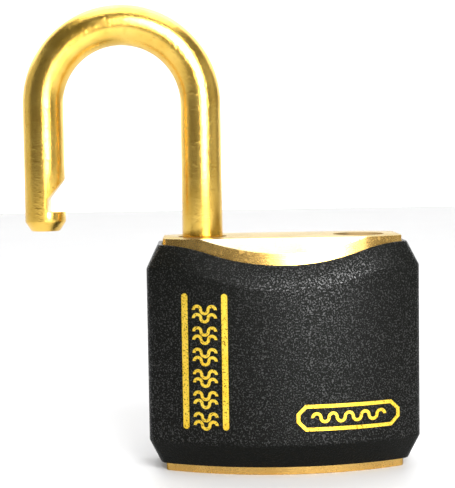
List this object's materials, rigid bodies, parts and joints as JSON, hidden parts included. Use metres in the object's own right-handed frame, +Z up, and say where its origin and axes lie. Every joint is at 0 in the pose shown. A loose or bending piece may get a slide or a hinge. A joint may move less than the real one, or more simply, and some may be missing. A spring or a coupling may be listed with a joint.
{
  "type": "padlock",
  "caption": "Small weather-covered brass padlock standing open: sprung round shackle lifted and swung aside, keyed cylinder and sliding toe bolt inside.",
  "frame": {"origin": "centre of the brass block's bottom face, on the key plug's axis", "axes": "+Z up along the shackle legs, +X from the captive leg to the toe hole, -Y out of the printed front"},
  "size_m": [0.0606, 0.0233, 0.0719],
  "materials": {
    "brass_body": "machined, lightly brushed",
    "brass_shackle": "satin drawn rod",
    "brass_plug": "turned face",
    "brass_inner": "turned",
    "steel_inner": "ground",
    "spring_steel": "drawn stainless wire",
    "cover_black": "fine spark-eroded texture",
    "gold_print": "hot-stamped gold foil"
  },
  "bodies": {
    "lock": {"lock_body": "brass_body", "weather_cover": "cover_black", "cover_stripes": "gold_print", "wave_marks": "gold_print", "badge": "gold_print", "heel_retaining_pin": "brass_inner", "plug_retaining_pin": "steel_inner", "bolt_bore_plug": "brass_inner", "shackle_spring": "spring_steel", "bolt_spring": "spring_steel", "pin_spring_1": "spring_steel", "pin_spring_2": "spring_steel", "pin_spring_3": "spring_steel", "pin_spring_4": "spring_steel", "pin_spring_5": "spring_steel", "chamber_plug_1": "brass_inner", "chamber_plug_2": "brass_inner", "chamber_plug_3": "brass_inner", "chamber_plug_4": "brass_inner", "chamber_plug_5": "brass_inner"},
    "shackle_lifter": {"spring_cap": "brass_inner"},
    "shackle_swinging": {"shackle": "brass_shackle"},
    "bolt": {"toe_bolt": "brass_inner"},
    "cylinder": {"key_plug": "brass_plug", "cam": "steel_inner"},
    "key_pin_body_1": {"key_pin_1": "brass_inner"},
    "key_pin_body_2": {"key_pin_2": "brass_inner"},
    "key_pin_body_3": {"key_pin_3": "brass_inner"},
    "key_pin_body_4": {"key_pin_4": "brass_inner"},
    "key_pin_body_5": {"key_pin_5": "brass_inner"},
    "driver_pin_body_1": {"driver_pin_1": "steel_inner"},
    "driver_pin_body_2": {"driver_pin_2": "steel_inner"},
    "driver_pin_body_3": {"driver_pin_3": "steel_inner"},
    "driver_pin_body_4": {"driver_pin_4": "steel_inner"},
    "driver_pin_body_5": {"driver_pin_5": "steel_inner"}
  },
  "joints": [
    {"name": "shackle_lift", "type": "slide", "parent": "lock", "child": "shackle_lifter", "axis": [0, 0, 1], "range_m": [-0.011, 0], "stiffness_N_per_m": 400, "springref_m": 0.006, "deforming": ["shackle_spring"]},
    {"name": "shackle_swivel", "type": "hinge", "parent": "shackle_lifter", "child": "shackle_swinging", "pos_m": [-0.0122, 0, 0.0358], "axis": [0, 0, 1], "range_deg": [-180, 180]},
    {"name": "plug_turn", "type": "hinge", "parent": "lock", "child": "cylinder", "pos_m": [0, 0, 0.0112], "axis": [0, 0, 1], "range_deg": [0, 80]},
    {"name": "toe_bolt_slide", "type": "slide", "parent": "lock", "child": "bolt", "axis": [-1, 0, 0], "range_m": [0, 0.00283], "stiffness_N_per_m": 150, "springref_m": -0.0015, "deforming": ["bolt_spring"]},
    {"name": "key_pin_1_slide", "type": "slide", "parent": "cylinder", "child": "key_pin_body_1", "axis": [1, 0, 0], "range_m": [-0.0006, 0]},
    {"name": "key_pin_2_slide", "type": "slide", "parent": "cylinder", "child": "key_pin_body_2", "axis": [1, 0, 0], "range_m": [-0.0012, 0]},
    {"name": "key_pin_3_slide", "type": "slide", "parent": "cylinder", "child": "key_pin_body_3", "axis": [1, 0, 0], "range_m": [-0.0009, 0]},
    {"name": "key_pin_4_slide", "type": "slide", "parent": "cylinder", "child": "key_pin_body_4", "axis": [1, 0, 0], "range_m": [-0.0015, 0]},
    {"name": "key_pin_5_slide", "type": "slide", "parent": "cylinder", "child": "key_pin_body_5", "axis": [1, 0, 0], "range_m": [-0.0003, 0]},
    {"name": "driver_pin_1_slide", "type": "slide", "parent": "lock", "child": "driver_pin_body_1", "axis": [1, 0, 0], "range_m": [-0.0006, 0], "deforming": ["pin_spring_1"]},
    {"name": "driver_pin_2_slide", "type": "slide", "parent": "lock", "child": "driver_pin_body_2", "axis": [1, 0, 0], "range_m": [-0.0012, 0], "deforming": ["pin_spring_2"]},
    {"name": "driver_pin_3_slide", "type": "slide", "parent": "lock", "child": "driver_pin_body_3", "axis": [1, 0, 0], "range_m": [-0.0009, 0], "deforming": ["pin_spring_3"]},
    {"name": "driver_pin_4_slide", "type": "slide", "parent": "lock", "child": "driver_pin_body_4", "axis": [1, 0, 0], "range_m": [-0.0015, 0], "deforming": ["pin_spring_4"]},
    {"name": "driver_pin_5_slide", "type": "slide", "parent": "lock", "child": "driver_pin_body_5", "axis": [1, 0, 0], "range_m": [-0.0003, 0], "deforming": ["pin_spring_5"]}
  ],
  "couplings": [
    {"joint": "plug_turn", "follows": "toe_bolt_slide", "rad_per_m": 493.68},
    {"joint": "driver_pin_1_slide", "follows": "key_pin_1_slide", "ratio": 1},
    {"joint": "driver_pin_2_slide", "follows": "key_pin_2_slide", "ratio": 1},
    {"joint": "driver_pin_3_slide", "follows": "key_pin_3_slide", "ratio": 1},
    {"joint": "driver_pin_4_slide", "follows": "key_pin_4_slide", "ratio": 1},
    {"joint": "driver_pin_5_slide", "follows": "key_pin_5_slide", "ratio": 1}
  ]
}
